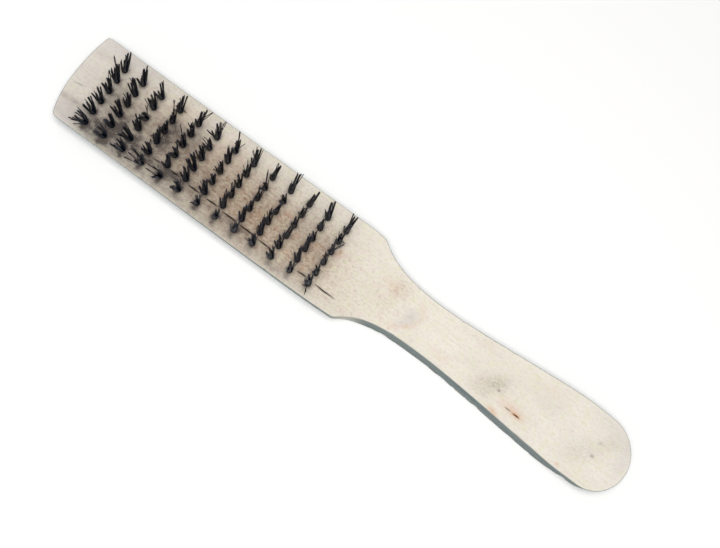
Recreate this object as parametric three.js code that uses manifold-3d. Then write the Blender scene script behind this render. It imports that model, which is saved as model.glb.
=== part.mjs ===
// Wire brush lying on its back: a wooden block with rows of steel wire tufts standing up from its head.
// Units are millimetres. +X runs from the nose to the handle's butt, +Z is up, and the back rests on z = 0.
import * as THREE from 'three';
import { mergeVertices } from 'three/addons/utils/BufferGeometryUtils.js';
import Module from 'manifold-3d';

// Block, seen from above: the nose runs out to the middle by its bulge, and its corners are rounded
const length = 290.8;
const thickness = 12;
const leftNoseHalfWidth = 21.2;
const leftNoseBulge = 2;
const leftNoseRadius = 1.4;
const rightNoseHalfWidth = 20.9;
const rightNoseBulge = 3.7;
const rightNoseRadius = 2;
const headX = -22.5;
const headHalfWidth = 21.4;

// Each side from the straight of the head to the round of the butt and back: a curve is the X and Y of
// its two handles and of its end point
const leftCurves = [
  [-8.5, 21.4, 0.5, 21.9, 4.5, 20.5],
  [11, 15.6, 19, 12, 38.5, 11.4],
  [58.5, 11.1, 97, 16.1, 116, 16.4],
  [121, 16.4, 126, 15.9, 130, 15.7],
];
const rightCurves = [
  [126, -17.4, 122, -17.2, 117, -17.1],
  [112, -17, 108, -16.2, 103, -15.85],
  [88.5, -14.85, 58, -11.2, 38, -11.4],
  [18, -11.4, 11.3, -15, 5.7, -19.6],
  [4.9, -20.4, 4.2, -20.75, 2.9, -20.85],
  [-4.5, -21.3, -12.5, -21.4, -22.5, -21.4],
];
const buttRoundX = 130;
const buttTipY = -1.6;
const buttRightY = -17.3;
const arcHandle = 0.55;
const edgeEase = 0.7;
const curveSteps = 7;

// The head's sides lean in towards the back, most at the nose, and stand upright again from this X on
const noseBackInset = 2.5;
const backInset = 1.7;
const uprightX = 20;

// Drilled field of tufts
const rowCount = 13;
const columnCount = 6;
const rowPitch = 9.72;
const columnPitch = 5.64;
const firstRowX = -128.8;
const fieldCentreY = -1;
const holeRadius = 1.35;
const holeDepth = 9;
const holeSides = 12;

// Wire tufts: each is a root in its hole and two legs, which are the halves of the folded bundle
const wireHeight = 23.5;
const rootRadius = 1.05;
const rootGap = 0.3;
const rootRise = 0.8;
const rootSides = 8;
const legBaseRadius = 0.74;
const legTipRadius = 0.6;
const legSides = 6;
const legSegments = 2;
const legCurl = 0.3;
const legBaseSpread = 0.4;
const innerTipSpread = 2.6;
const outerTipSpread = 1.35;
const crossSpread = 0.7;
const heightVariation = 1.4;
const leanVariation = 0.7;
const noseRowLean = 1.3;
const neckRowLean = -0.2;
const sideLean = -2.6;
const scatterSteps = new THREE.Vector3(12.9, 78.2, 31.1);
const scatterScale = 43758.5;

// Finishes
const woodColour = 0xdccfb8;
const woodRoughness = 0.78;
const wireColour = 0x34333a;
const wireRoughness = 0.5;
const wireMetalness = 0.85;

const wasm = await Module();
wasm.setup();

function toSolid(geometry) {
  const bare = new THREE.BufferGeometry();
  bare.setAttribute('position', geometry.getAttribute('position'));
  bare.setIndex(geometry.index);
  const merged = mergeVertices(bare, 1e-5);
  const mesh = new wasm.Mesh({
    numProp: 3,
    vertProperties: new Float32Array(merged.getAttribute('position').array),
    triVerts: new Uint32Array(merged.index.array),
  });
  return new wasm.Manifold(mesh);
}

function toGeometry(solid) {
  const mesh = solid.getMesh();
  const geometry = new THREE.BufferGeometry();
  geometry.setAttribute('position', new THREE.BufferAttribute(new Float32Array(mesh.vertProperties), 3));
  geometry.setIndex(new THREE.BufferAttribute(new Uint32Array(mesh.triVerts), 1));
  geometry.computeVertexNormals();
  return geometry;
}

function joined(solids) {
  return solids.reduce((whole, solid) => whole.add(solid));
}

// Moves every vertex of a geometry by a rule that changes the vector it is given.
function reshape(geometry, rule) {
  const position = geometry.getAttribute('position');
  const point = new THREE.Vector3();
  for (let i = 0; i < position.count; i += 1) {
    point.fromBufferAttribute(position, i);
    rule(point);
    position.setXYZ(i, point.x, point.y, point.z);
  }
  return geometry;
}

// Outline seen from above, from the nose along the +Y side to the butt and back along the -Y side.
function blockOutline() {
  const noseX = -length / 2;
  const buttX = length / 2;
  const leftNoseX = noseX + leftNoseBulge;
  const rightNoseX = noseX + rightNoseBulge;
  const outline = new THREE.Shape();
  outline.moveTo(noseX, 0);
  outline.quadraticCurveTo(noseX, leftNoseHalfWidth / 2, leftNoseX, leftNoseHalfWidth - leftNoseRadius);
  outline.quadraticCurveTo(leftNoseX, leftNoseHalfWidth, leftNoseX + leftNoseRadius, leftNoseHalfWidth);
  outline.quadraticCurveTo(noseX / 2, headHalfWidth, headX, headHalfWidth);
  leftCurves.forEach((curve) => outline.bezierCurveTo(...curve));
  const handleX = THREE.MathUtils.lerp(buttRoundX, buttX, arcHandle);
  const leftY = outline.currentPoint.y;
  const leftHandleY = THREE.MathUtils.lerp(buttTipY, leftY, arcHandle);
  outline.bezierCurveTo(handleX, leftY, buttX, leftHandleY, buttX, buttTipY);
  const rightHandleY = THREE.MathUtils.lerp(buttTipY, buttRightY, arcHandle);
  outline.bezierCurveTo(buttX, rightHandleY, handleX, buttRightY, buttRoundX, buttRightY);
  rightCurves.forEach((curve) => outline.bezierCurveTo(...curve));
  outline.quadraticCurveTo(noseX / 2, -headHalfWidth, rightNoseX + rightNoseRadius, -rightNoseHalfWidth);
  outline.quadraticCurveTo(rightNoseX, -rightNoseHalfWidth, rightNoseX, rightNoseRadius - rightNoseHalfWidth);
  outline.quadraticCurveTo(noseX, -rightNoseHalfWidth / 2, noseX, 0);
  return outline;
}

function rowX(row) {
  return firstRowX + row * rowPitch;
}

function columnY(column) {
  return fieldCentreY + (column - (columnCount - 1) / 2) * columnPitch;
}

function drill(row, column) {
  const height = holeDepth + 1;
  const drillBit = new THREE.CylinderGeometry(holeRadius, holeRadius, height, holeSides);
  drillBit.rotateX(Math.PI / 2);
  drillBit.translate(rowX(row), columnY(column), thickness - holeDepth + height / 2);
  return toSolid(drillBit);
}

function blockGeometry() {
  const slab = new THREE.ExtrudeGeometry(blockOutline(), {
    depth: thickness - 2 * edgeEase,
    curveSegments: curveSteps,
    bevelThickness: edgeEase,
    bevelSize: edgeEase,
    bevelOffset: -edgeEase,
    bevelSegments: 2,
  });
  slab.translate(0, 0, edgeEase);
  reshape(slab, (point) => {
    const backShare = 1 - point.z / thickness;
    const headShare = THREE.MathUtils.clamp(1 - point.x / uprightX, 0, 1);
    const noseShare = THREE.MathUtils.clamp(-2 * point.x / length, 0, 1);
    const inset = THREE.MathUtils.lerp(backInset, noseBackInset, noseShare);
    point.y *= 1 - (backShare * headShare * inset) / headHalfWidth;
  });
  const holes = [];
  for (let row = 0; row < rowCount; row += 1) {
    for (let column = 0; column < columnCount; column += 1) {
      holes.push(drill(row, column));
    }
  }
  return toGeometry(toSolid(slab).subtract(joined(holes)));
}

// A repeatable value from -1 to 1 that differs from tuft to tuft, as the bent wires of a used brush do.
function variation(row, column, kind) {
  const wave = Math.sin(scatterSteps.dot(new THREE.Vector3(row, column, kind))) * scatterScale;
  return 2 * (wave - Math.floor(wave)) - 1;
}

// A leg starts inside the root beside the tuft's centre and leans outwards more and more towards its tip.
function leg(base, startSpread, tipX, tipY, height) {
  const shaft = new THREE.CylinderGeometry(legTipRadius, legBaseRadius, height, legSides, legSegments);
  shaft.rotateX(Math.PI / 2);
  shaft.translate(0, 0, height / 2);
  reshape(shaft, (point) => {
    const share = point.z / height;
    const bend = share * (1 - legCurl + legCurl * share);
    point.x += bend * tipX;
    point.y += startSpread * (1 - bend) + bend * tipY;
  });
  shaft.translate(base.x, base.y, thickness - rootGap);
  return toSolid(shaft);
}

// side is 1 for the tuft of a pair whose partner stands on its +Y side, and -1 for the partner.
function tuft(row, column, side) {
  const base = new THREE.Vector2(rowX(row), columnY(column));
  const rootHeight = holeDepth - rootGap + rootRise;
  const root = new THREE.CylinderGeometry(rootRadius, rootRadius, rootHeight, rootSides);
  root.rotateX(Math.PI / 2);
  root.translate(base.x, base.y, thickness + rootRise - rootHeight / 2);
  const height = wireHeight + rootGap + heightVariation * (variation(row, column, 1) - 1) / 2;
  const rowLean = THREE.MathUtils.lerp(noseRowLean, neckRowLean, row / (rowCount - 1));
  const leanX = rowLean + leanVariation * variation(row, 0, 2);
  const inner = leg(base, side * legBaseSpread, leanX + crossSpread, sideLean + side * innerTipSpread, height);
  const outer = leg(base, -side * legBaseSpread, leanX - crossSpread, sideLean - side * outerTipSpread, height);
  return joined([toSolid(root), inner, outer]);
}

const woodFinish = new THREE.MeshStandardMaterial({
  color: woodColour,
  roughness: woodRoughness,
  metalness: 0,
});
const wireFinish = new THREE.MeshStandardMaterial({
  color: wireColour,
  roughness: wireRoughness,
  metalness: wireMetalness,
});

const brush = new THREE.Group();
brush.name = 'wire_brush';

const block = new THREE.Mesh(blockGeometry(), woodFinish);
block.name = 'block';
brush.add(block);

// Two neighbouring tufts of a row lean together until their wires mingle, so each such pair is one body.
for (let row = 0; row < rowCount; row += 1) {
  for (let column = 0; column < columnCount; column += 2) {
    const pair = tuft(row, column, 1).add(tuft(row, column + 1, -1));
    const mesh = new THREE.Mesh(toGeometry(pair), wireFinish.clone());
    mesh.name = `tufts_row${String(row + 1).padStart(2, '0')}_pair${column / 2 + 1}`;
    brush.add(mesh);
  }
}

export default brush;
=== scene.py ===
import math
import random

import bmesh
import bpy
from mathutils import Matrix, Vector, kdtree, noise
from mathutils.geometry import interpolate_bezier


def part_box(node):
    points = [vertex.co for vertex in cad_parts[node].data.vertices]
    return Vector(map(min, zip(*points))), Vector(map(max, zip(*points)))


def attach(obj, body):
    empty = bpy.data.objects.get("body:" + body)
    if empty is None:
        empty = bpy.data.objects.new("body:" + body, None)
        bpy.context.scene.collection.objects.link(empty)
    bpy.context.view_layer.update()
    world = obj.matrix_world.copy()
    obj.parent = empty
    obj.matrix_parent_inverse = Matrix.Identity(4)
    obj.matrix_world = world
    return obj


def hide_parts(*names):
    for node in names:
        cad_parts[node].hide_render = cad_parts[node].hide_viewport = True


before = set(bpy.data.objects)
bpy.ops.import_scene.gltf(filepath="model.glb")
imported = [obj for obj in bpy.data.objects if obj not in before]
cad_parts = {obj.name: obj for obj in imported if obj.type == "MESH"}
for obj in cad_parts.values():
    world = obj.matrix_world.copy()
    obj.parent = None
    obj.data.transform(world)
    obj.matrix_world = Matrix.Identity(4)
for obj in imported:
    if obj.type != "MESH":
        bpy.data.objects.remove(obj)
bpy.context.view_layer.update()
scene = bpy.context.scene
MM = 0.001


# ---- Camera -------------------------------------------------------------------------------
# Looks almost straight down on the brush from a little beyond its right long side, as a person
# holding it at arm's length would, with the nose up and to the left and the handle down right.
CAMERA_SPOT = Vector((-0.0005, -0.123, 0.552))
CAMERA_TARGET = Vector((0.0033, 0.0015, 0.012))
BRUSH_TURN = math.radians(36.0)
CAMERA_LENS = 65.0

camera_data = bpy.data.cameras.new("camera")
camera_data.lens = CAMERA_LENS
camera_data.sensor_width = 36.0
camera_data.clip_start = 0.01
camera_data.dof.use_dof = False
camera = bpy.data.objects.new("camera", camera_data)
scene.collection.objects.link(camera)
scene.camera = camera

gaze = (CAMERA_TARGET - CAMERA_SPOT).normalized()
brush_line = (Vector((1, 0, 0)) - gaze * gaze.x).normalized()
across_line = brush_line.cross(gaze)
right_line = brush_line * math.cos(BRUSH_TURN) + across_line * math.sin(BRUSH_TURN)
up_line = across_line * math.cos(BRUSH_TURN) - brush_line * math.sin(BRUSH_TURN)
turn = Matrix((right_line, up_line, -gaze)).transposed()
camera.matrix_world = Matrix.Translation(CAMERA_SPOT) @ turn.to_4x4()


# ---- Floor and light ----------------------------------------------------------------------
# A broad sheet of white paper under the brush, lit by a large soft lamp hung over it, with pale light
# from all round.
FLOOR_SIZE = 6.0
FLOOR_COLOUR = (0.93, 0.93, 0.93, 1)
SKY_COLOUR = (0.95, 0.97, 1.0, 1)
SKY_STRENGTH = 0.34
LAMP_SPOT = Vector((0.0, -0.18, 1.1))
LAMP_SIZE = 0.5
LAMP_POWER = 10.9
LAMP_COLOUR = (1.0, 0.985, 0.96)

bm = bmesh.new()
bmesh.ops.create_grid(bm, x_segments=1, y_segments=1, size=FLOOR_SIZE / 2)
floor_mesh = bpy.data.meshes.new("floor")
bm.to_mesh(floor_mesh)
bm.free()
floor = bpy.data.objects.new("floor", floor_mesh)
scene.collection.objects.link(floor)
paper = bpy.data.materials.new("white_paper")
paper.use_nodes = True
paper_shader = paper.node_tree.nodes["Principled BSDF"]
paper_shader.inputs["Base Color"].default_value = FLOOR_COLOUR
paper_shader.inputs["Roughness"].default_value = 0.9
floor.data.materials.append(paper)

world = bpy.data.worlds.new("studio")
world.use_nodes = True
world.node_tree.nodes["Background"].inputs["Color"].default_value = SKY_COLOUR
world.node_tree.nodes["Background"].inputs["Strength"].default_value = SKY_STRENGTH
scene.world = world

lamp_data = bpy.data.lights.new("soft_lamp", "AREA")
lamp_data.shape = "SQUARE"
lamp_data.size = LAMP_SIZE
lamp_data.energy = LAMP_POWER
lamp_data.color = LAMP_COLOUR
lamp = bpy.data.objects.new("soft_lamp", lamp_data)
scene.collection.objects.link(lamp)
lamp.location = LAMP_SPOT
lamp.rotation_euler = (-LAMP_SPOT).to_track_quat("-Z", "Y").to_euler()

scene.view_settings.view_transform = "Standard"
scene.view_settings.look = "None"


# ---- Wooden block -------------------------------------------------------------------------
# One piece of pale hardwood, sawn to shape: a wide flat head, a narrow neck and a paddle grip.
# Its arrises are only lightly sanded, and the tufts' holes are drilled three quarters of the way through.
block_low, block_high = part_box("block")
NOSE_X, BUTT_X = block_low.x, block_high.x
FACE_Z = block_high.z
BLOCK_THICK = block_high.z - block_low.z

# The outline's two long sides, each a run of Bezier curves from the nose to the butt. A point is a place
# along the brush and the half width there, in millimetres. block_spot rounds off the nose and the butt.
LEFT_SIDE = [
    [(-146, 21.2), (-100, 21.3), (-60, 21.4), (-22.5, 21.4)],
    [(-22.5, 21.4), (-8.5, 21.4), (0.5, 21.9), (4.5, 20.5)],
    [(4.5, 20.5), (11, 15.6), (19, 12.0), (38.5, 11.4)],
    [(38.5, 11.4), (58.5, 11.1), (97, 16.1), (116, 16.4)],
    [(116, 16.4), (121, 16.6), (125, 16.7), (130, 16.7)],
    [(130, 16.7), (135, 16.7), (141, 16.7), (146, 16.7)],
]
RIGHT_SIDE = [
    [(-146, 20.9), (-100, 21.1), (-60, 21.4), (-22.5, 21.4)],
    [(-22.5, 21.4), (-12.5, 21.4), (-4.5, 21.3), (2.9, 20.85)],
    [(2.9, 20.85), (4.2, 20.75), (4.9, 20.4), (5.7, 19.6)],
    [(5.7, 19.6), (11.3, 15.0), (18, 11.4), (38, 11.4)],
    [(38, 11.4), (58, 11.2), (88.5, 14.85), (103, 15.85)],
    [(103, 15.85), (108, 16.2), (112, 17.0), (118, 17.0)],
    [(118, 17.0), (122, 17.0), (126, 16.6), (131, 16.4)],
    [(131, 16.4), (136, 16.3), (141, 16.3), (146, 16.3)],
]
CURVE_POINTS = 40
GRID_LONG, GRID_ACROSS = 414, 60
NOSE_BULGE = {1: 2.0 * MM, -1: 3.7 * MM}
NOSE_CURVE = {1: 2.6, -1: 2.2}
NOSE_RADIUS = {1: 1.2 * MM, -1: 1.9 * MM}
NOSE_REACH = 16 * MM
BUTT_DEPTH = 15.5 * MM
BUTT_SHIFT = -1.6 * MM
BUTT_SHIFT_START, BUTT_SHIFT_END = 112 * MM, 144 * MM
EASE_HEAD, EASE_GRIP = 0.45 * MM, 0.5 * MM
GRIP_EASE_X = 30 * MM

# How far the sawn wall is drawn in at the back: along the head, at the nose and round the butt.
BACK_INSET, NOSE_BACK_INSET, BUTT_BACK_INSET = 1.7 * MM, 2.5 * MM, 1.3 * MM
HEAD_INSET_END = 20 * MM
BUTT_INSET_START, BUTT_INSET_END = 104 * MM, 134 * MM


def side_widths(curves):
    points = []
    for curve in curves:
        a, b, c, d = (Vector((x, y, 0)) * MM for x, y in curve)
        points += [(p.x, p.y) for p in interpolate_bezier(a, b, c, d, CURVE_POINTS)]
    return sorted(set(points))


SIDE_WIDTHS = {1: side_widths(LEFT_SIDE), -1: side_widths(RIGHT_SIDE)}


def half_width(side, x):
    points = SIDE_WIDTHS[side]
    low, high = 0, len(points) - 1
    while high - low > 1:
        middle = (low + high) // 2
        if points[middle][0] <= x:
            low = middle
        else:
            high = middle
    (x0, y0), (x1, y1) = points[low], points[high]
    share = min(max((x - x0) / (x1 - x0), 0), 1)
    return y0 + (y1 - y0) * share


def smooth_step(low, high, value):
    share = min(max((value - low) / (high - low), 0), 1)
    return share * share * (3 - 2 * share)


def ease_at(x):
    return EASE_HEAD + (EASE_GRIP - EASE_HEAD) * smooth_step(0, GRIP_EASE_X, x)


def block_spot(along, across):
    """Where a point of the unit sheet lies on the block's face, just inside its eased arris."""
    side = 1 if across >= 0 else -1
    ease = EASE_HEAD + (EASE_GRIP - EASE_HEAD) * along
    x = NOSE_X + ease + along * (BUTT_X - NOSE_X - 2 * ease)
    width = half_width(side, x) - ease_at(x)
    share = abs(across)
    radius = NOSE_RADIUS[side] - EASE_HEAD
    from_nose = x - NOSE_X - EASE_HEAD
    from_side = width * (1 - share)
    if from_nose < radius and from_side < radius:
        dx, dy = radius - from_nose, radius - from_side
        pull = max(dx, dy) / math.hypot(dx, dy)
        x += dx * (1 - pull)
        share = 1 - (radius - dy * pull) / width
    x += NOSE_BULGE[side] * share ** NOSE_CURVE[side] * (1 - smooth_step(0, NOSE_REACH, from_nose))
    butt_start = BUTT_X - ease - BUTT_DEPTH
    if x > butt_start:
        a, b = (x - butt_start) / BUTT_DEPTH, share
        pull = max(a, b) / math.hypot(a, b)
        x, share = butt_start + a * pull * BUTT_DEPTH, b * pull
    y = side * share * width
    y += BUTT_SHIFT * smooth_step(BUTT_SHIFT_START, BUTT_SHIFT_END, x)
    return Vector((x, y, FACE_Z))


def draw_out(bm, edges):
    """Draws a ring of new faces out of border edges, and returns the new border's edges."""
    made = bmesh.ops.extrude_edge_only(bm, edges=edges)["geom"]
    return [g for g in made if isinstance(g, bmesh.types.BMEdge) and g.is_boundary]


# The face starts as a flat grid. Its vertices carry the amount of each kind of soil and wear, of the painted
# shade on the wall (the side mark) and of the painted shade in the splits.
bm = bmesh.new()
rim_place = bm.verts.layers.int.new("rim_place")
hole_place = bm.verts.layers.int.new("hole_place")
split_shade = bm.verts.layers.float.new("split_shade")
MARK_KINDS = ("grime", "tan", "orange", "grey", "faded", "side")
MARKS = {kind: bm.verts.layers.float.new(kind) for kind in MARK_KINDS}
bmesh.ops.create_grid(bm, x_segments=GRID_LONG, y_segments=GRID_ACROSS, size=1)
vert_at = {}
RELIEF = 0.05 * MM
WAVES_LONG, WAVES_ACROSS = 70, 150
for v in bm.verts:
    along, across = (v.co.x + 1) / 2, v.co.y
    cell = (round(along * GRID_LONG), round((across + 1) / 2 * GRID_ACROSS))
    vert_at[cell] = v
    v.co = block_spot(along, across)
    wave = noise.noise(Vector((v.co.x * WAVES_LONG, v.co.y * WAVES_ACROSS, 0)))
    v.co.z += RELIEF * (wave - 0.5)

# The arris, the sawn wall and the back arris are drawn out ring by ring from the sheet's border.
edges = [e for e in bm.edges if e.is_boundary]
border = [edges[0].verts[0]]
step = edges[0]
while True:
    border.append(step.other_vert(border[-1]))
    if border[-1] is border[0]:
        break
    step = next(e for e in border[-1].link_edges if e.is_boundary and e is not step)
border.pop()
if sum(a.co.x * b.co.y - b.co.x * a.co.y for a, b in zip(border, border[1:] + border[:1])) < 0:
    border.reverse()
base_spots, outwards = [], []
for i, v in enumerate(border):
    tangent = border[(i + 1) % len(border)].co - border[i - 1].co
    base_spots.append(v.co.copy())
    outwards.append(Vector((tangent.y, -tangent.x, 0)).normalized())
for i, v in enumerate(border):
    v[rim_place] = i

# Painted shade: the wall is painted a dark grey-teal as shade, least on the -Y shoulder, and the painted
# shade thins out over the back's arris.
BACK_EASE = 0.6 * MM
WALL_STEPS = 9
SHOULDER_X, SHOULDER_LENGTH, SHOULDER_LESS_SHADE = 9 * MM, 5 * MM, 0.6
BACK_FADE = 0.6
SAW_MARKS = 0.05 * MM
SAW_WAVES_ROUND, SAW_WAVES_DOWN, SAW_MARKS_RISE = 900, 250, 6
CHIPPED_EDGE = 0.6 * MM
CHIP_WAVES_LONG, CHIP_WAVES_DOWN, CHIP_PLANE = 260, 40, 3.7
CHIP_DOWN_START = 0.55
CHIP_START, CHIP_END = 5 * MM, 30 * MM
rings = [("front", math.radians(a)) for a in (22.5, 45, 67.5, 90)]
rings += [("wall", (i + 1) / WALL_STEPS) for i in range(WALL_STEPS)]
rings += [("back", math.radians(a)) for a in (30, 60, 90)]
for part, amount in rings:
    edges = draw_out(bm, edges)
    for v in {v for e in edges for v in e.verts}:
        i = v[rim_place]
        x, y = base_spots[i].x, base_spots[i].y
        ease = ease_at(x)
        if part == "front":
            out, down = ease * math.sin(amount), ease * (1 - math.cos(amount))
        elif part == "wall":
            out, down = ease, ease + (BLOCK_THICK - BACK_EASE - ease) * amount
        else:
            out = ease - BACK_EASE * (1 - math.cos(amount))
            down = BLOCK_THICK - BACK_EASE * (1 - math.sin(amount))
        less_shade = SHOULDER_LESS_SHADE * math.exp(-(((x - SHOULDER_X) / SHOULDER_LENGTH) ** 2)) * (y < 0)
        over_arris = math.sin(amount)
        # The side mark holds the painted shade on the wall and its arrises, lessened on the -Y shoulder.
        wall_shade = {"front": over_arris, "wall": 1, "back": 1 - BACK_FADE * over_arris}[part]
        v[MARKS["side"]] = wall_shade * (1 - less_shade)
        share = down / BLOCK_THICK
        rough = noise.noise(Vector((x * SAW_WAVES_ROUND, y * SAW_WAVES_ROUND, down * SAW_WAVES_DOWN)))
        out += SAW_MARKS * rough * min(share * SAW_MARKS_RISE, 1) * (part != "front")
        if y < 0:
            chip = noise.noise(Vector((x * CHIP_WAVES_LONG, CHIP_PLANE, down * CHIP_WAVES_DOWN)))
            low_down = smooth_step(CHIP_DOWN_START, 1, share)
            out -= CHIPPED_EDGE * max(chip, 0) * low_down * smooth_step(CHIP_START, CHIP_END, x)
        out -= BUTT_BACK_INSET * share * smooth_step(BUTT_INSET_START, BUTT_INSET_END, x)
        v.co = base_spots[i] + outwards[i] * out
        v.co.z = FACE_Z - down
        inset = BACK_INSET + (NOSE_BACK_INSET - BACK_INSET) * min(max(x / NOSE_X, 0), 1)
        v.co.y -= inset * share * (1 - smooth_step(0, HEAD_INSET_END, x)) * v.co.y / block_high.y
for e in edges:
    e.smooth = False
    for v in e.verts:
        v.co.z = 0
bmesh.ops.holes_fill(bm, edges=edges, sides=0)

# Small knocks in the arrises: where, and how deep and how wide each one is, in millimetres.
KNOCKS = [
    (51.1, 11.9, 0.45, 1.6), (62.9, 12.5, 0.4, 1.3), (67.6, 12.9, 0.35, 1.1), (76.5, 13.5, 0.4, 1.5),
    (141.8, -9.0, 0.9, 1.3), (140.7, 9.2, 0.5, 1.5), (-30.5, -21.4, 0.3, 2.5), (-60.5, 21.3, 0.3, 2.2),
    (-95.5, -21.1, 0.35, 1.8), (29.5, -11.6, 0.4, 1.6), (97.5, -14.7, 0.45, 2.2), (-143.5, 12, 0.3, 1.6),
]
BUTT_KNOCKS_X = 140
PUSH_IN, PUSH_DOWN = 0.6, 0.8
BUTT_PUSH = (-0.8, 0, -0.5)
KNOCK_FALL = 1.5
for x, y, deep, wide in KNOCKS:
    centre = Vector((x * MM, y * MM, FACE_Z))
    for v in bm.verts:
        gap = (v.co - centre).length / (wide * MM)
        if gap < 1:
            side_push = (0, -math.copysign(PUSH_IN, y), -PUSH_DOWN)
            push = Vector(side_push if x < BUTT_KNOCKS_X else BUTT_PUSH)
            v.co += push * deep * MM * (1 - gap) ** KNOCK_FALL

# Drilled holes: a patch of the sheet is cut out over each, and its edge is drawn to a circle and down.
# The rows fan out a little towards the nose.
ROWS, COLUMNS = 13, 6
ROW_PITCH, COLUMN_PITCH = 9.72 * MM, 5.64 * MM
FIRST_ROW_X, FIELD_CENTRE_Y = -128.8 * MM, -1.0 * MM
HOLE_RADIUS, HOLE_DEPTH = 1.35 * MM, 9 * MM
ROW_FAN = 0.027
HOLE_CELLS = 2
MOUTH_SHARE, BORE_SHARE, MOUTH_DEPTH = 1.06, 0.97, 0.15 * MM
hole_spots = []
for r in range(ROWS):
    for c in range(COLUMNS):
        across = (c - (COLUMNS - 1) / 2) * COLUMN_PITCH
        fan = -ROW_FAN * across * (1 - r / (ROWS - 1))
        hole_spots.append(Vector((FIRST_ROW_X + r * ROW_PITCH + fan, FIELD_CENTRE_Y + across, FACE_Z)))
sheet_tree = kdtree.KDTree(len(vert_at))
sheet_cells = list(vert_at)
for i, cell in enumerate(sheet_cells):
    sheet_tree.insert(vert_at[cell].co, i)
sheet_tree.balance()
doomed = set()
for number, spot in enumerate(hole_spots):
    i, j = sheet_cells[sheet_tree.find(spot)[1]]
    span = range(-HOLE_CELLS, HOLE_CELLS + 1)
    patch = {vert_at[i + a, j + b] for a in span for b in span}
    doomed |= {f for v in patch for f in v.link_faces if all(w in patch for w in f.verts)}
    for a in span:
        for b in span:
            if max(abs(a), abs(b)) == HOLE_CELLS:
                v = vert_at[i + a, j + b]
                v[hole_place] = number + 1
                v.co = spot + Vector((a, b, 0)).normalized() * HOLE_RADIUS * MOUTH_SHARE
bmesh.ops.delete(bm, geom=list(doomed), context="FACES")
edges = [e for e in bm.edges if e.is_boundary]
for depth in (MOUTH_DEPTH, HOLE_DEPTH):
    edges = draw_out(bm, edges)
    for v in {v for e in edges for v in e.verts}:
        spot = hole_spots[v[hole_place] - 1]
        flat = Vector((v.co.x - spot.x, v.co.y - spot.y, 0)).normalized() * HOLE_RADIUS * BORE_SHARE
        v.co = spot + flat - Vector((0, 0, depth))
bmesh.ops.holes_fill(bm, edges=edges, sides=0)

# Splits along the grain, each given in millimetres by its two ends along the brush, its place across at
# both, and its greatest width and depth. The first nine are stretches of the drying crack between the two
# lines of tufts nearest the -Y side, the next two are short checks in the handle, and the last is a scratch
# by the nose.
SPLITS = [
    (-97.0, -92.1, -10.5, -10.5, 0.3, 0.5), (-88.1, -81.7, -10.4, -10.6, 0.55, 1.0),
    (-78.5, -71.7, -11.0, -11.1, 0.55, 1.0), (-69.1, -61.9, -11.2, -11.2, 0.6, 1.2),
    (-59.9, -51.5, -11.7, -11.8, 0.6, 1.3), (-51.1, -41.9, -11.9, -12.1, 0.56, 1.2),
    (-40.7, -33.5, -12.3, -12.6, 0.45, 1.0), (-19.1, -13.7, -13.3, -13.4, 0.55, 1.2),
    (-10.5, 1.0, -13.6, -13.9, 0.5, 1.0),
    (85.9, 89.9, -8.2, -8.4, 0.2, 0.25), (90.3, 94.4, -8.5, -8.7, 0.5, 0.5),
    (-143.8, -137.6, -4.2, -2.4, 0.2, 0.12),
]
SPLIT_SWAY, SPLIT_WAVES = 0.16, 320
SPLIT_TAPER, LEAST_OPENING = 0.6, 0.15
MIDDLE_GAP = 0.01 * MM
LIP_SHADE, FULL_SHADE_DEPTH = 0.6, 0.3


def split_y(x, x0, x1, y0, y1):
    """Where a split lies across the brush at this place along it, swaying a little with the grain."""
    share = (x / MM - x0) / (x1 - x0)
    wave = SPLIT_SWAY * noise.noise(Vector((x * SPLIT_WAVES, y0, 1)))
    return (y0 + (y1 - y0) * share + wave) * MM


for x0, x1, y0, y1, wide, deep in SPLITS:
    middle = Vector(((x0 + x1) / 2 * MM, (y0 + y1) / 2 * MM, FACE_Z))
    line = sheet_cells[sheet_tree.find(middle)[1]][1]
    chain = [vert_at[i, line] for i in range(GRID_LONG + 1)]
    chain = [v for v in chain if v.is_valid and x0 * MM <= v.co.x <= x1 * MM and not v[hole_place]]
    for v in chain:
        v.co.y = split_y(v.co.x, x0, x1, y0, y1)
    pairs = set(zip(chain, chain[1:])) | set(zip(chain[1:], chain))
    cut = [e for v in chain for e in v.link_edges if (e.verts[0], e.verts[1]) in pairs]
    made = bmesh.ops.bevel(
        bm, geom=list(set(cut)), offset=wide * MM / 2, offset_type="OFFSET", segments=2,
        profile=0.5, affect="EDGES", material=-1, clamp_overlap=False,
    )["verts"]
    # The bottom of each split is painted dark as shade, more so where the split is deeper, and its lips get
    # a lighter painted shade.
    for v in made:
        share = (v.co.x / MM - x0) / (x1 - x0)
        fade = math.sin(math.pi * min(max(share, 0), 1)) ** SPLIT_TAPER
        middle_y = split_y(v.co.x, x0, x1, y0, y1)
        off = v.co.y - middle_y
        if abs(off) < MIDDLE_GAP:
            v.co.z -= deep * MM * fade
            v[split_shade] = fade * min(deep / FULL_SHADE_DEPTH, 1)
        else:
            v.co.y = middle_y + off * max(fade, LEAST_OPENING)
            v[split_shade] = LIP_SHADE * fade * min(deep / FULL_SHADE_DEPTH, 1)

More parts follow.
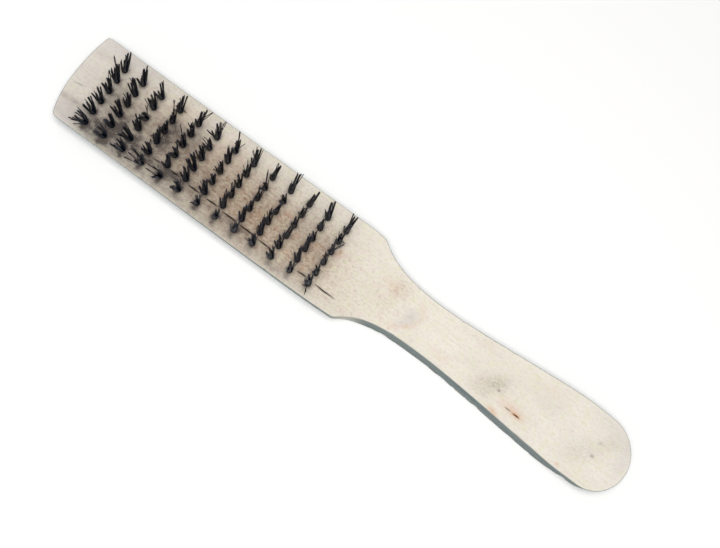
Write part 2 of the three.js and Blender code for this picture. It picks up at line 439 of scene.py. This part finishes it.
# Soil and stains, painted on the face as soft spots: where, how long and wide, how far turned in degrees
# and how strong. Places and sizes are in millimetres.
SPOTS = {
    "grime": [
        (-115.5, -7.5, 3.4, 3.6, 0, 0.8), (-96.5, -2.5, 3.4, 5.0, 0, 0.5), (-106.5, -8.0, 3.0, 3.4, 0, 0.5),
        (-96.0, 5.8, 4.0, 2.8, 10, 0.45), (-87.3, 8.0, 3.0, 6.0, 0, 0.3),
        (-104.5, -13.0, 32.0, 6.5, 0, 0.26), (-139.5, -10.8, 8.5, 1.4, 0, 0.3),
        (-120.5, -12.0, 12.0, 3.6, 0, 0.35), (-90.5, -11.9, 28.0, 2.2, -1, 0.5),
        (-106.5, -17.0, 4.0, 3.0, 0, 0.3), (-120.5, -17.0, 8.0, 5.0, 0, 0.4),
        (-76.5, -18.5, 60.0, 3.6, 0, 0.35), (-124.5, 1.0, 6.0, 10.0, 0, 0.5),
        (-100.5, 1.0, 24.0, 9.0, 0, 0.32), (-50.5, -13.5, 13.0, 2.4, 0, 0.42),
        (-17.7, -13.0, 3.0, 2.2, 0, 0.25), (128.9, -3.4, 0.9, 0.7, 0, 0.5), (129.2, 3.4, 1.0, 0.8, 0, 0.3),
        (80.4, -4.0, 0.6, 0.5, 0, 0.7), (-9.0, 3.8, 0.9, 1.1, 0, 0.3), (-76.5, -7.0, 8.0, 5.0, 0, 0.2),
        (-84.5, -1.0, 34.0, 8.0, 0, 0.16), (-52.5, -14.0, 16.0, 2.2, 0, 0.08),
        (-115.5, -1.8, 3.0, 2.6, 0, 0.25), (-86.5, -12.5, 3.5, 3.2, 0, 0.35),
        (-96.5, -14.2, 3.4, 2.4, 0, 0.1), (-27.5, -18.6, 4.0, 2.6, 0, 0.2),
        (-139.5, 13.4, 7.0, 1.8, 0, 0.14), (-18.5, -3.0, 3.4, 6.0, 0, 0.1), (-66.5, -8.5, 6.0, 4.0, 0, 0.1),
        (-125.5, -15.3, 7.0, 3.0, 0, 0.28), (-115.5, -17.0, 5.0, 3.0, 0, 0.15),
        (-40.0, 0.0, 40.0, 14.0, 0, 0.03),
    ],
    "tan": [
        (-42.5, -2.0, 36.0, 15.0, 0, 0.53), (-18.0, 0.0, 7.0, 14.0, 0, 0.14),
        (-100.5, 4.0, 36.0, 16.0, 0, 0.28), (-60.5, -14.0, 60.0, 8.0, 0, 0.24),
        (-84.5, -2.0, 30.0, 10.0, 0, 0.2), (-12.5, -5.0, 9.0, 10.0, 0, 0.12),
        (17.5, -3.0, 9.0, 7.0, 0, 0.1), (23.0, 6.5, 5.0, 4.0, 0, 0.16), (20.0, 4.0, 1.6, 5.0, 0, 0.14),
        (75.5, -4.0, 9.0, 5.0, 30, 0.16),
    ],
    "orange": [
        (89.5, -7.5, 6.5, 2.6, -8, 0.4), (92.3, -8.5, 2.4, 0.8, -4, 0.8), (82.8, -13.0, 3.2, 1.3, -14, 0.6),
        (118.1, -15.0, 0.9, 0.8, 0, 0.6), (-19.0, 0.5, 1.5, 1.0, 0, 0.35),
        (-17.7, -11.5, 1.3, 1.2, 0, 0.35), (-28.0, -1.0, 1.6, 1.0, 0, 0.35),
        (-27.5, -9.5, 1.5, 1.3, 0, 0.3), (-8.9, 3.7, 1.2, 1.6, 0, 0.6), (31.7, -5.8, 1.8, 0.9, 30, 0.28),
        (27.5, -8.5, 3.0, 1.6, 40, 0.2), (-36.5, 4.0, 2.4, 1.6, 0, 0.3), (17.0, 6.0, 4.0, 2.5, 0, 0.2),
        (65.5, 10.0, 4.0, 2.0, 0, 0.12), (-121.5, -2.0, 3.0, 3.0, 0, 0.2), (-46.0, -3.0, 2.0, 1.6, 0, 0.2),
        (132.5, 3.0, 2.0, 1.6, 0, 0.12), (-98.5, 14.0, 6.0, 4.0, 0, 0.15), (99.5, 10.0, 10.0, 3.0, 0, 0.1),
        (-70.5, 9.0, 10.0, 5.0, 0, 0.12), (51.5, -7.0, 8.0, 2.0, 0, 0.12),
    ],
    "grey": [
        (76.5, -3.0, 8.5, 3.6, 38, 0.45), (78.5, -2.0, 3.8, 2.6, 38, 0.35), (75.0, -9.0, 3.4, 2.2, 0, 0.3),
        (124.5, -3.5, 12.0, 4.5, 45, 0.35), (134.0, 6.5, 3.5, 3.0, 0, 0.3), (31.1, -0.6, 2.6, 2.8, 0, 0.14),
        (59.5, 9.0, 8.0, 2.0, 0, 0.12), (103.5, 3.0, 6.0, 4.0, 0, 0.12), (63.5, -2.0, 3.0, 2.4, 0, 0.15),
        (-57.5, 14.0, 4.0, 3.0, 0, 0.2), (-95.5, 20.5, 50.0, 1.6, 0, 0.3),
    ],
    "faded": [
        (-140.5, 3.0, 9.0, 20.0, 0, 0.36), (-136.5, -17.0, 10.0, 5.0, 0, 0.4),
        (-128.5, 19.0, 22.0, 4.0, 0, 0.4), (31.8, -0.5, 3.2, 3.4, 0, 0.5),
        (29.5, -5.0, 2.0, 3.0, -35, 0.25), (99.5, 0.0, 45.0, 22.0, 0, 0.08),
        (141.5, 4.0, 4.0, 13.0, 0, 0.3), (131.5, 12.5, 12.0, 4.0, -15, 0.25),
    ],
}

# The knot's outer ring shows as an arc of small orange spots.
KNOT_MIDDLE, KNOT_RADIUS = (29.0, 1.0), 6.6
KNOT_SPOT_LONG, KNOT_SPOT_WIDE, KNOT_SPOT_STRENGTH = 1.5, 1.7, 0.12
for turned in range(-65, 70, 15):
    x = KNOT_MIDDLE[0] + KNOT_RADIUS * math.cos(math.radians(turned))
    y = KNOT_MIDDLE[1] + KNOT_RADIUS * math.sin(math.radians(turned))
    SPOTS["orange"].append((x, y, KNOT_SPOT_LONG, KNOT_SPOT_WIDE, turned, KNOT_SPOT_STRENGTH))

SPOT_REACH = 6
PAINT_DEPTH = 2 * MM
for kind, spots in SPOTS.items():
    for x, y, long, wide, turned, strength in spots:
        cos, sin = math.cos(math.radians(turned)), math.sin(math.radians(turned))
        for v in bm.verts:
            dx, dy = v.co.x / MM - x, v.co.y / MM - y
            gap = ((dx * cos + dy * sin) / long) ** 2 + ((dy * cos - dx * sin) / wide) ** 2
            if gap < SPOT_REACH and v.co.z > FACE_Z - PAINT_DEPTH:
                v[MARKS[kind]] += strength * math.exp(-gap)

# The face is darkened, in the grime mark, in a ring round every hole and beside the tuft at the -Y end of
# each row.
RING_DARKENING, RING_DARKENING_WIDTH = 0.55, 0.9 * MM
SIDE_DARKENING, SIDE_DARKENING_WIDTH = 0.4, 1.5 * MM
SIDE_DARKENING_OFFSET = Vector((0.4, -3.0)) * MM
for v in bm.verts:
    if v.co.z > FACE_Z - PAINT_DEPTH and v.co.x < 0:
        ring = min((v.co.xy - spot.xy).length for spot in hole_spots)
        v[MARKS["grime"]] += RING_DARKENING * math.exp(-((max(ring - HOLE_RADIUS, 0) / RING_DARKENING_WIDTH) ** 2))
        beside = min((v.co.xy - spot.xy - SIDE_DARKENING_OFFSET).length for spot in hole_spots[::COLUMNS])
        v[MARKS["grime"]] += SIDE_DARKENING * math.exp(-((beside / SIDE_DARKENING_WIDTH) ** 2))

SHARP_ANGLE = math.radians(40)
bmesh.ops.recalc_face_normals(bm, faces=bm.faces)
for f in bm.faces:
    f.smooth = True
block_mesh = bpy.data.meshes.new("wooden_block")
bm.to_mesh(block_mesh)
bm.free()
block_mesh.set_sharp_from_angle(angle=SHARP_ANGLE)
block = bpy.data.objects.new("wooden_block", block_mesh)
scene.collection.objects.link(block)


def put(tree, kind, links=None, values=None, **settings):
    """Adds a node, sets it up, and returns it."""
    made = tree.nodes.new(kind)
    for name, value in settings.items():
        setattr(made, name, value)
    for socket, value in (values or {}).items():
        made.inputs[socket].default_value = value
    for socket, source in (links or {}).items():
        tree.links.new(source, made.inputs[socket])
    return made


def paint(red, green, blue):
    """A paint-chart colour from 0 to 255 as the colour a shader mixes with."""
    shares = [level / 255 for level in (red, green, blue)]
    return (*(s / 12.92 if s < 0.04045 else ((s + 0.055) / 1.055) ** 2.4 for s in shares), 1)


def blend_colour(tree, amount, under, over, how="MIX"):
    """Lays one colour over another, by an amount that may be a node's output or a number."""
    mix = put(tree, "ShaderNodeMix", data_type="RGBA", blend_type=how)
    for socket, source in ((0, amount), (6, under), (7, over)):
        if isinstance(source, bpy.types.NodeSocket):
            tree.links.new(source, mix.inputs[socket])
        else:
            mix.inputs[socket].default_value = source
    return mix.outputs[2]


def work_out(tree, how, *terms, clamp=False):
    """Does a sum on numbers and node outputs."""
    sum_node = put(tree, "ShaderNodeMath", operation=how, use_clamp=clamp)
    for i, term in enumerate(terms):
        if isinstance(term, bpy.types.NodeSocket):
            tree.links.new(term, sum_node.inputs[i])
        else:
            sum_node.inputs[i].default_value = term
    return sum_node.outputs[0]


def ramp(tree, source, low, high, to_low=0.0, to_high=1.0):
    """Stretches a node's output from one range to another, and holds it at the ends."""
    stretch = put(tree, "ShaderNodeMapRange", links={"Value": source})
    for socket, value in (("From Min", low), ("From Max", high), ("To Min", to_low), ("To Max", to_high)):
        stretch.inputs[socket].default_value = value
    return stretch.outputs[0]


def speckle(tree, place, stretch, scale, detail=3.0, rough=0.6, warp=0.0):
    """Noise on the object's own millimetres, drawn out along each axis by the stretch."""
    spread = put(tree, "ShaderNodeMapping", links={"Vector": place})
    spread.inputs["Scale"].default_value = tuple(1000 / s for s in stretch)
    cloud = put(tree, "ShaderNodeTexNoise", links={"Vector": spread.outputs[0]})
    for socket, value in (("Scale", scale), ("Detail", detail), ("Roughness", rough), ("Distortion", warp)):
        cloud.inputs[socket].default_value = value
    return cloud.outputs["Fac"]


# The wood's own colours, then the stains on it, then the painted shade on the wall and in the splits.
PALE_WOOD, GREYER_WOOD = paint(229, 224, 213), paint(223, 218, 206)
PINK_WOOD, YELLOW_WOOD = paint(220, 203, 195), paint(220, 217, 191)
FIBRE_BROWN, STREAK_BROWN, PORE_BROWN = paint(200, 186, 167), paint(202, 188, 172), paint(196, 183, 167)
TAN_STAIN, TAN_PORES, TAN_BARE = paint(163, 123, 85), paint(100, 86, 78), paint(226, 208, 184)
ORANGE_STAIN, FADED_WOOD = paint(205, 152, 112), paint(191, 186, 189)
GREY_STAIN, GRIME = paint(176, 172, 156), paint(90, 82, 77)
# Painted shade on the wall: a dark grey-teal for the shade the sawn wall is in, varied by the streaks.
WALL_SHADE_DARK, WALL_SHADE_PALE = paint(106, 120, 121), paint(134, 144, 141)
# Painted shade in the splits: near black at the bottom of each split, lighter on its lips.
SPLIT_SHADE_COLOUR = paint(32, 22, 19)

wood = bpy.data.materials.new("bare_pale_hardwood")
wood.use_nodes = True
tree = wood.node_tree
shader = tree.nodes["Principled BSDF"]
place = put(tree, "ShaderNodeTexCoord").outputs["Object"]
mark = {}
for kind in (*SPOTS, "side", "split_shade"):
    mark[kind] = put(tree, "ShaderNodeAttribute", attribute_name=kind).outputs["Fac"]

# Noise from broad clouds down to fine dust. Fibre and streak are drawn out along the grain.
clouds = speckle(tree, place, (20, 8, 8), 1.0, detail=2.0)
mottle = speckle(tree, place, (3.0, 2.5, 2.5), 1.0, detail=2.0, warp=0.3)
pores = speckle(tree, place, (1.6, 1.0, 1.0), 1.0, detail=3.0, rough=0.6)
fibre = speckle(tree, place, (8, 0.5, 0.5), 1.0, detail=4.0, rough=0.65, warp=0.3)
streak = speckle(tree, place, (60, 2.4, 2.4), 1.0, detail=3.0, rough=0.7)
dust = speckle(tree, place, (0.6, 0.55, 0.55), 1.0, detail=3.0, rough=0.7)

colour = blend_colour(tree, ramp(tree, clouds, 0.35, 0.65), PALE_WOOD, GREYER_WOOD)
colour = blend_colour(tree, ramp(tree, mottle, 0.5, 0.7, 0, 0.42), colour, PINK_WOOD)
colour = blend_colour(tree, ramp(tree, mottle, 0.5, 0.32, 0, 0.7), colour, YELLOW_WOOD)
colour = blend_colour(tree, ramp(tree, fibre, 0.5, 0.75, 0, 0.35), colour, FIBRE_BROWN)
colour = blend_colour(tree, ramp(tree, streak, 0.56, 0.74, 0, 0.3), colour, STREAK_BROWN)
colour = blend_colour(tree, ramp(tree, pores, 0.5, 0.72, 0, 0.42), colour, PORE_BROWN)

# The stains lie over the wood in turn, most of them broken up by the noise. The painted shade on the wall
# comes next, and the painted shade in the splits last.
by_mottle = ramp(tree, mottle, 0.3, 0.7, 0.72, 1.25)
by_pores = ramp(tree, pores, 0.3, 0.7, 0.75, 1.25)
grained = work_out(tree, "MULTIPLY", by_mottle, by_pores)
tan_cover = work_out(tree, "MULTIPLY", mark["tan"], grained, clamp=True)
colour = blend_colour(tree, tan_cover, colour, TAN_STAIN)
pore_cover = work_out(tree, "MULTIPLY", mark["tan"], ramp(tree, pores, 0.5, 0.7, 0, 0.55), clamp=True)
colour = blend_colour(tree, pore_cover, colour, TAN_PORES)
bare_cover = work_out(tree, "MULTIPLY", mark["tan"], ramp(tree, pores, 0.5, 0.32, 0, 0.5), clamp=True)
colour = blend_colour(tree, bare_cover, colour, TAN_BARE)
orange_cover = work_out(tree, "MULTIPLY", mark["orange"], ramp(tree, dust, 0.3, 0.7, 0.5, 1.3), clamp=True)
colour = blend_colour(tree, orange_cover, colour, ORANGE_STAIN)
colour = blend_colour(tree, mark["faded"], colour, FADED_WOOD)
grey_cover = work_out(tree, "MULTIPLY", mark["grey"], ramp(tree, dust, 0.4, 0.62, 0.1, 1.5), clamp=True)
colour = blend_colour(tree, grey_cover, colour, GREY_STAIN)
by_dust = ramp(tree, dust, 0.3, 0.7, 0.75, 1.2)
patchy = work_out(tree, "MULTIPLY", by_dust, ramp(tree, mottle, 0.35, 0.65, 0.8, 1.2))
grime_cover = work_out(tree, "MULTIPLY", mark["grime"], patchy, clamp=True)
colour = blend_colour(tree, grime_cover, colour, GRIME)
# The painted shade on the wall and its arrises, laid on by the side mark.
shaded_wall = blend_colour(tree, ramp(tree, streak, 0.35, 0.65), WALL_SHADE_DARK, WALL_SHADE_PALE)
colour = blend_colour(tree, mark["side"], colour, shaded_wall)
# The painted shade in the splits.
colour = blend_colour(tree, mark["split_shade"], colour, SPLIT_SHADE_COLOUR)

rough = ramp(tree, fibre, 0.3, 0.7, 0.68, 0.88)
tree.links.new(colour, shader.inputs["Base Color"])
tree.links.new(rough, shader.inputs["Roughness"])
shader.inputs["Specular IOR Level"].default_value = 0.3
relief = work_out(tree, "ADD", fibre, work_out(tree, "MULTIPLY", pores, 0.5))
bump = put(tree, "ShaderNodeBump", links={"Height": relief})
bump.inputs["Strength"].default_value = 0.35
bump.inputs["Distance"].default_value = 0.15 * MM
tree.links.new(bump.outputs[0], shader.inputs["Normal"])
block.data.materials.append(wood)
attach(block, "root")
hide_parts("block")


# ---- Wire tufts ---------------------------------------------------------------------------
# Each tuft is a bundle of hard steel wires folded in two and wedged in its hole, so that it stands up
# as two legs side by side, each of two strands. Use has pushed every tuft over its own way, bent single
# wires out of the legs, dulled the steel and browned the tips.
WIRE_RADIUS = 0.17 * MM
WIRE_SIDES, WIRE_BENDS = 5, 7
WIRE_LENGTH = 23.5 * MM
ROOT_DEPTH = 8 * MM
WIRES_PER_TUFT = 32
BUNDLE_RADIUS = 1.12 * MM
LEG_FLARE = Vector((0.0, 0.65)) * MM
FLARE_HEIGHT = 0.12
LEAN_CURVE = 1.05
LEAST_HEIGHT = 0.2
LEG_SPREAD = 0.28 * MM
END_LEG_SPREAD = 0.95 * MM
STRAND_SPREAD = Vector((-0.1, 0.5)) * MM
STRAND_GATHER = 0.55
GOLDEN_TURN = 2.39996
FULL_TURN = 6.28
FIRST_SEED = 4100
SHORTEST_WIRE = 0.95
WIRES_PER_BEND = 2

# How far chance moves strands, wires, bows and feet from their places, in millimetres. Most wires keep to
# their strand, by TIDY_CHANCE, and the rest stray further.
STRAND_SCATTER = 0.24
TIDY_SCATTER, STRAY_SCATTER, TIDY_CHANCE = 0.1, 0.7, 0.88
BOW_SCATTER = 0.08
BENT_FOOT_SCATTER, BENT_TWIN_SCATTER, BENT_BOW_SCATTER = 0.2, 0.15, 0.2

# How far the tips of each tuft have been pushed over, towards +X and +Y, in millimetres. A line is one
# row of the brush from its -Y side to its +Y side, and the first line is the row next to the nose.
TUFT_LEANS = [
    [(0.5, -4), (0.5, -2.5), (1, -2.5), (2, -2.5), (1.5, -1), (2.5, -1)],
    [(1, -4), (1.5, -3), (0.5, -2), (2.5, -2.5), (0.5, -2), (2, -2.5)],
    [(0.5, -3.5), (-0.5, -4), (1, -2), (2, -5.5), (0.5, -2.5), (1, -3)],
    [(2, -3.5), (1, -3.5), (1.5, -1.5), (2, -3), (2.5, -2.5), (2, -1.5)],
    [(2, -4.5), (1, -2.5), (1.5, -4), (1, -3), (2, -2.5), (2, -2.5)],
    [(0.5, -3.5), (0, -2), (-1, -2), (0, -2.5), (1, -4), (0.5, -2.5)],
    [(1.5, -3.5), (0, -2), (1, -3.5), (0.5, -3), (0.5, -2), (1.5, -3.5)],
    [(1.5, -3.5), (0.5, -1), (1.5, -3), (0.5, -2.5), (1, -2.5), (0.5, -1.5)],
    [(1.5, -2.5), (0, -1), (1, -3), (1.5, -3.5), (0.5, -4.5), (1.5, -2.5)],
    [(0, -2.5), (-0.5, -0.5), (0, -2), (1.5, -3), (0.5, -4.5), (0.5, -0.5)],
    [(-0.5, -2.5), (-1, -1.5), (1, -2), (0.5, -3), (1, -3.5), (1, -2)],
    [(0, -2.5), (-1, -1.5), (-0.5, -1), (0, -3.5), (0, -3.5), (-1, -1)],
    [(-0.5, -2.5), (-0.5, -3), (-0.5, -2.5), (-0.5, -3), (0, -3.5), (0.5, -1)],
]

# Wires bent right out of a leg: the row, the tuft, the leg (1 is the +Y one), how far the tip has gone
# towards +X and +Y in millimetres, and how much of the wire's length is left. Each entry is two wires.
BENT_WIRES = [
    (1, 1, 1, 0, -4.5, 1), (1, 1, -1, -1, -6, 1), (1, 1, -1, 2, -7, 1), (1, 1, -1, 4, -5.5, 1),
    (1, 1, 1, 3.5, -4, 1), (1, 2, -1, 1, -4.5, 1), (1, 4, 1, 0.5, 0, 1), (1, 4, -1, 2.5, -3, 1),
    (1, 5, -1, 0.5, -3.5, 1), (1, 5, 1, -1.5, 1, 1), (1, 6, 1, 2, -1, 1), (2, 1, -1, 2, -5.5, 1),
    (2, 3, 1, 0, -2.5, 1), (2, 6, 1, 2, 0.5, 1), (2, 6, -1, 3, -2.5, 1), (3, 2, 1, -1.5, -2, 1),
    (3, 4, 1, 1.5, -2, 1), (3, 5, 1, 1, -1.5, 1), (4, 1, 1, -3, -2.5, 1), (4, 1, 1, -2, -3.5, 1),
    (4, 1, -1, -2.5, -3.5, 1), (4, 1, -1, -2.5, -5.5, 1), (4, 1, 1, 4, -4.5, 1), (4, 2, 1, 1.5, -0.5, 1),
    (4, 3, -1, 1, -4, 1), (4, 5, 1, 0, 0.5, 1), (4, 5, -1, 4, -5.5, 1), (4, 6, 1, 1, -2.5, 1),
    (4, 6, 1, 5.5, -5, 0.9), (5, 1, 1, -3, -4.5, 1), (5, 1, -1, -3, -4.5, 1), (5, 1, 1, -1, -3.5, 1),
    (5, 3, 1, 0, -1, 1), (5, 4, 1, -1.5, 0, 1), (5, 5, 1, -0.5, -3, 1), (5, 6, 1, 3, 0, 1),
    (5, 6, 1, 5.5, 1, 1), (6, 5, 1, -1, -4.5, 1), (6, 6, 1, 2.5, 1, 1), (6, 6, -1, -1.5, -5, 1),
    (7, 3, 1, 2, -2.5, 1), (7, 4, -1, 0.5, -5.5, 1), (7, 5, 1, -0.5, -1, 1), (7, 6, 1, -0.5, 1, 1),
    (8, 2, 1, -0.5, 1, 1), (8, 2, 1, 2, -2.5, 1), (8, 3, 1, 0, -1.5, 1), (8, 6, 1, -1, -2.5, 1),
    (9, 3, 1, 1, -1, 1), (9, 4, 1, -0.5, -1.5, 1), (9, 5, 1, -1, 0.5, 1), (9, 6, 1, 0.5, 0, 1),
    (10, 1, -1, -0.5, -3, 1), (10, 3, 1, -0.5, 0, 1), (10, 5, 1, -0.5, -5, 1), (10, 6, 1, -0.5, 1, 1),
    (10, 6, 1, 1, 1.5, 1), (11, 1, -1, -0.5, -3.5, 1), (11, 5, -1, -0.5, -4.5, 1), (12, 4, 1, -0.5, -4.5, 1),
    (13, 1, -1, -1, -5.5, 1), (13, 1, -1, 2, -7.5, 1), (13, 6, 1, -1, 1, 1), (13, 6, 1, 0, 1, 1),
    (13, 6, -1, -1, -3.5, 1), (13, 4, 1, 2.6, 3.4, 0.38), (13, 5, 1, 2.6, -2.2, 0.38),
]

bm = bmesh.new()
bmesh.ops.create_cone(
    bm, cap_ends=True, cap_tris=False, segments=WIRE_SIDES,
    radius1=WIRE_RADIUS, radius2=WIRE_RADIUS, depth=1,
)
long_edges = [e for e in bm.edges if abs(e.verts[0].co.z - e.verts[1].co.z) > 0.5]
bmesh.ops.subdivide_edges(bm, edges=long_edges, cuts=WIRE_BENDS)
bmesh.ops.translate(bm, verts=bm.verts, vec=(0, 0, 0.5))
straight_wire = bpy.data.meshes.new("straight_wire")
bm.to_mesh(straight_wire)
bm.free()


def add_wire(bm, foot, flare, lean, bow, length):
    """Adds one wire that stands straight in its hole, flares out of its mouth and leans over to its tip."""
    start = len(bm.verts)
    bm.from_mesh(straight_wire)
    bm.verts.ensure_lookup_table()
    height = math.sqrt(max(length * length - lean.length_squared, (LEAST_HEIGHT * length) ** 2))
    for v in bm.verts[start:]:
        rise = v.co.z * (height + ROOT_DEPTH) - ROOT_DEPTH
        up = max(rise, 0) / height
        flared = flare * (1 - math.exp(-up / FLARE_HEIGHT))
        spot = foot + flared + lean * up**LEAN_CURVE + bow * math.sin(math.pi * up)
        v.co = Vector((v.co.x + spot.x, v.co.y + spot.y, FACE_Z + rise))


def scatter(chance, spread):
    """A random step across the brush, with the spread in millimetres."""
    return Vector((chance.gauss(0, spread), chance.gauss(0, spread))) * MM


STEEL_BELOW, STEEL_AT_TIP = paint(22, 41, 66), paint(55, 50, 51)
BLUE_FILM, RUST = paint(60, 84, 110), paint(72, 46, 38)

steel = bpy.data.materials.new("dull_steel_wire")
steel.use_nodes = True
tree = steel.node_tree
shader = tree.nodes["Principled BSDF"]
place = put(tree, "ShaderNodeTexCoord").outputs["Object"]
height = put(tree, "ShaderNodeSeparateXYZ", links={"Vector": place}).outputs["Z"]
towards_tip = ramp(tree, height, FACE_Z, FACE_Z + WIRE_LENGTH)
rust = speckle(tree, place, (1.6, 1.6, 4.0), 1.0, detail=4.0, rough=0.7)
film = speckle(tree, place, (0.5, 0.5, 2.5), 1.0, detail=3.0)
colour = blend_colour(tree, towards_tip, STEEL_BELOW, STEEL_AT_TIP)
colour = blend_colour(tree, ramp(tree, film, 0.45, 0.7, 0, 0.5), colour, BLUE_FILM)
rusted = work_out(tree, "MULTIPLY", ramp(tree, rust, 0.54, 0.7), ramp(tree, towards_tip, 0.2, 1, 0, 0.6))
colour = blend_colour(tree, rusted, colour, RUST)
tree.links.new(colour, shader.inputs["Base Color"])
shader.inputs["Metallic"].default_value = 0.65
shader.inputs["Specular IOR Level"].default_value = 0.3
tree.links.new(ramp(tree, rust, 0.35, 0.7, 0.45, 0.75), shader.inputs["Roughness"])
bump = put(tree, "ShaderNodeBump", links={"Height": film})
bump.inputs["Strength"].default_value = 0.4
bump.inputs["Distance"].default_value = 0.03 * MM
tree.links.new(bump.outputs[0], shader.inputs["Normal"])

for number, spot in enumerate(hole_spots):
    row, column = divmod(number, COLUMNS)
    chance = random.Random(FIRST_SEED + number)
    bm = bmesh.new()
    spread = END_LEG_SPREAD if column == COLUMNS - 1 else LEG_SPREAD
    lean = Vector(TUFT_LEANS[row][column]) * MM
    strand_leans = {}
    for side in (-1, 1):
        for half in (-1, 1):
            fan = Vector((half * STRAND_SPREAD.x, side * spread + half * STRAND_SPREAD.y))
            strand_leans[side, half] = lean + fan + scatter(chance, STRAND_SCATTER)
    first_turn = chance.uniform(0, FULL_TURN)
    for i in range(WIRES_PER_TUFT):
        from_middle = BUNDLE_RADIUS * math.sqrt((i + 0.5) / WIRES_PER_TUFT)
        angle = first_turn + i * GOLDEN_TURN
        foot = Vector((math.cos(angle), math.sin(angle))) * from_middle
        side, half = (1 if foot.y > 0 else -1), (1 if foot.x > 0 else -1)
        strand_foot = Vector((half, side)) * BUNDLE_RADIUS / 2
        gathered = (strand_foot - foot) * STRAND_GATHER
        stray = scatter(chance, TIDY_SCATTER if chance.random() < TIDY_CHANCE else STRAY_SCATTER)
        wire_lean = strand_leans[side, half] + gathered + stray
        bow = scatter(chance, BOW_SCATTER)
        length = WIRE_LENGTH * chance.uniform(SHORTEST_WIRE, 1.0)
        add_wire(bm, spot.xy + foot, side * LEG_FLARE, wire_lean, bow, length)
    for bent_row, bent_tuft, side, x, y, part in BENT_WIRES:
        if (bent_row, bent_tuft) == (row + 1, column + 1):
            foot = spot.xy + Vector((0, side * BUNDLE_RADIUS / 2)) + scatter(chance, BENT_FOOT_SCATTER)
            for _ in range(WIRES_PER_BEND):
                bent_lean = Vector((x, y)) * MM + scatter(chance, BENT_TWIN_SCATTER)
                bent_foot = foot + scatter(chance, BENT_TWIN_SCATTER)
                bow = scatter(chance, BENT_BOW_SCATTER)
                add_wire(bm, bent_foot, side * LEG_FLARE / 2, bent_lean, bow, WIRE_LENGTH * part)
    for f in bm.faces:
        f.smooth = len(f.verts) == 4
    name = f"tuft_row{row + 1:02d}_{column + 1}"
    tuft_mesh = bpy.data.meshes.new(name)
    bm.to_mesh(tuft_mesh)
    bm.free()
    tuft = bpy.data.objects.new(name, tuft_mesh)
    scene.collection.objects.link(tuft)
    tuft.data.materials.append(steel)
    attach(tuft, "root")
    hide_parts(f"tufts_row{row + 1:02d}_pair{column // 2 + 1}")
bpy.data.meshes.remove(straight_wire)
